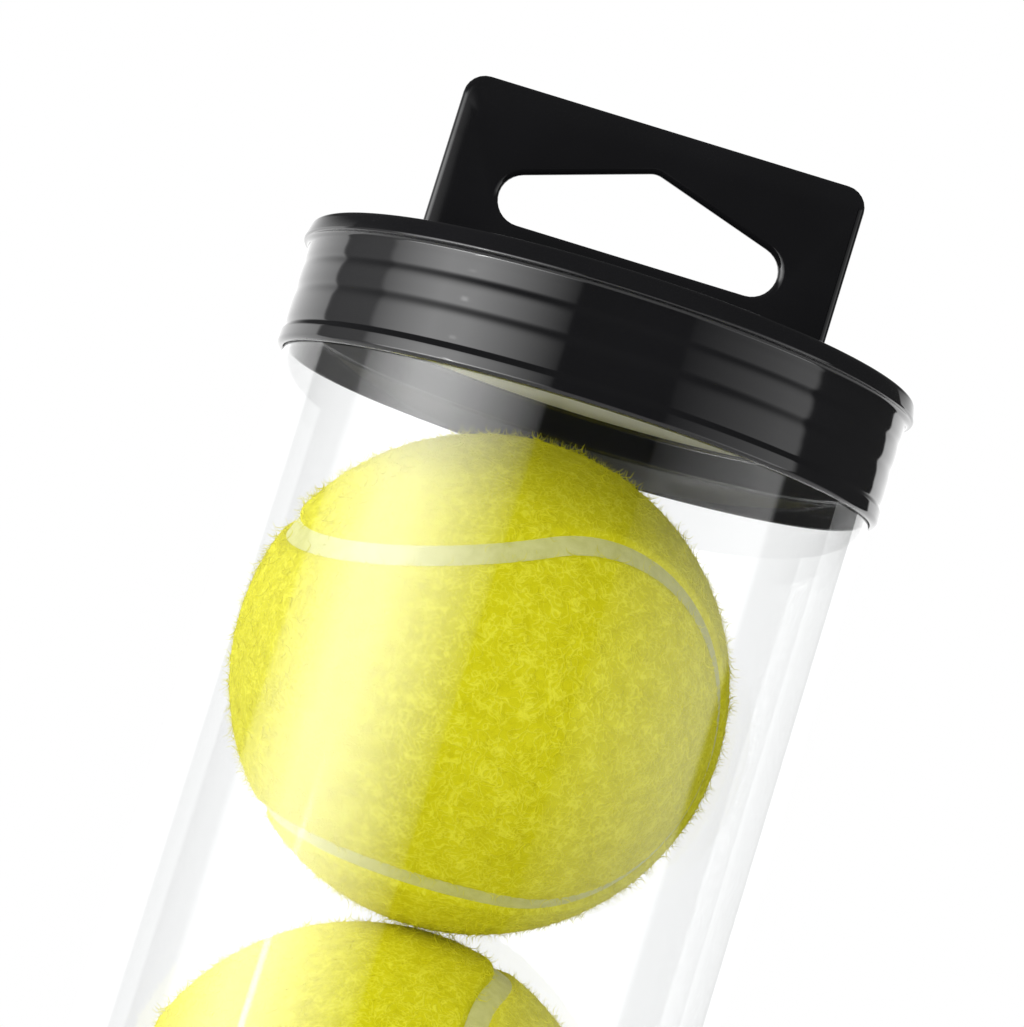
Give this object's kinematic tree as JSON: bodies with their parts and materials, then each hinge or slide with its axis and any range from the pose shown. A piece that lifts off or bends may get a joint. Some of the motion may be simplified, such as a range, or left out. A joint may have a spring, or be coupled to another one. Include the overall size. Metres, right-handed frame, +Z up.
{
  "type": "tennis ball pickup tube",
  "caption": "Clear tube of stacked tennis balls with a black lift-off cap, a flat hang tab with a slot, and a soft mouth below that lets balls in.",
  "frame": {"origin": "middle of the mouth collar's bottom face, on the floor", "axes": "+Z up the tube to the hang tab, the tab's flat face looks along -Y, +X to its right"},
  "size_m": [0.085, 0.085, 0.2473],
  "materials": {
    "clear_plastic": "clear, glossy",
    "black_plastic": "glossy",
    "soft_rubber": "soft, matte",
    "core_rubber": "matte",
    "felt": "fuzzy felt, optic yellow",
    "seam_rubber": "matte"
  },
  "bodies": {
    "tube": {"clear_tube": "clear_plastic", "mouth_collar": "black_plastic", "retaining_ring": "soft_rubber"},
    "top_cap": {"hang_cap": "black_plastic"},
    "ball_1": {"ball_1_core_a": "core_rubber", "ball_1_core_b": "core_rubber", "ball_1_felt_a": "felt", "ball_1_felt_b": "felt", "ball_1_seam": "seam_rubber"},
    "ball_2": {"ball_2_core_a": "core_rubber", "ball_2_core_b": "core_rubber", "ball_2_felt_a": "felt", "ball_2_felt_b": "felt", "ball_2_seam": "seam_rubber"},
    "ball_3": {"ball_3_core_a": "core_rubber", "ball_3_core_b": "core_rubber", "ball_3_felt_a": "felt", "ball_3_felt_b": "felt", "ball_3_seam": "seam_rubber"},
    "tongue_1": {"retaining_tongue_1": "soft_rubber"},
    "tongue_2": {"retaining_tongue_2": "soft_rubber"},
    "tongue_3": {"retaining_tongue_3": "soft_rubber"},
    "tongue_4": {"retaining_tongue_4": "soft_rubber"},
    "tongue_5": {"retaining_tongue_5": "soft_rubber"},
    "tongue_6": {"retaining_tongue_6": "soft_rubber"}
  },
  "joints": [
    {"name": "cap_lift", "type": "slide", "parent": "tube", "child": "top_cap", "axis": [0, 0, 1], "range_m": [0, 0.06]},
    {"name": "ball_1_lift", "type": "slide", "parent": "tube", "child": "ball_1", "axis": [0, 0, 1], "range_m": [0, 0.009]},
    {"name": "ball_2_lift", "type": "slide", "parent": "tube", "child": "ball_2", "axis": [0, 0, 1], "range_m": [0, 0.009]},
    {"name": "ball_3_lift", "type": "slide", "parent": "tube", "child": "ball_3", "axis": [0, 0, 1], "range_m": [0, 0.009]},
    {"name": "tongue_1_bend", "type": "hinge", "parent": "tube", "child": "tongue_1", "pos_m": [0.03692, 0, 0.0074], "axis": [0, 1, 0], "range_deg": [0, 26], "stiffness_Nm_per_rad": 0.01},
    {"name": "tongue_2_bend", "type": "hinge", "parent": "tube", "child": "tongue_2", "pos_m": [0.01846, 0.03197, 0.0074], "axis": [-0.866, 0.5, 0], "range_deg": [0, 26], "stiffness_Nm_per_rad": 0.01},
    {"name": "tongue_3_bend", "type": "hinge", "parent": "tube", "child": "tongue_3", "pos_m": [-0.01846, 0.03197, 0.0074], "axis": [-0.866, -0.5, 0], "range_deg": [0, 26], "stiffness_Nm_per_rad": 0.01},
    {"name": "tongue_4_bend", "type": "hinge", "parent": "tube", "child": "tongue_4", "pos_m": [-0.03692, 0, 0.0074], "axis": [0, -1, 0], "range_deg": [0, 26], "stiffness_Nm_per_rad": 0.01},
    {"name": "tongue_5_bend", "type": "hinge", "parent": "tube", "child": "tongue_5", "pos_m": [-0.01846, -0.03197, 0.0074], "axis": [0.866, -0.5, 0], "range_deg": [0, 26], "stiffness_Nm_per_rad": 0.01},
    {"name": "tongue_6_bend", "type": "hinge", "parent": "tube", "child": "tongue_6", "pos_m": [0.01846, -0.03197, 0.0074], "axis": [0.866, 0.5, 0], "range_deg": [0, 26], "stiffness_Nm_per_rad": 0.01}
  ],
  "couplings": [
    {"joint": "ball_2_lift", "follows": "ball_1_lift", "ratio": 1},
    {"joint": "ball_3_lift", "follows": "ball_1_lift", "ratio": 1},
    {"joint": "tongue_2_bend", "follows": "tongue_1_bend", "ratio": 1},
    {"joint": "tongue_3_bend", "follows": "tongue_1_bend", "ratio": 1},
    {"joint": "tongue_4_bend", "follows": "tongue_1_bend", "ratio": 1},
    {"joint": "tongue_5_bend", "follows": "tongue_1_bend", "ratio": 1},
    {"joint": "tongue_6_bend", "follows": "tongue_1_bend", "ratio": 1}
  ]
}
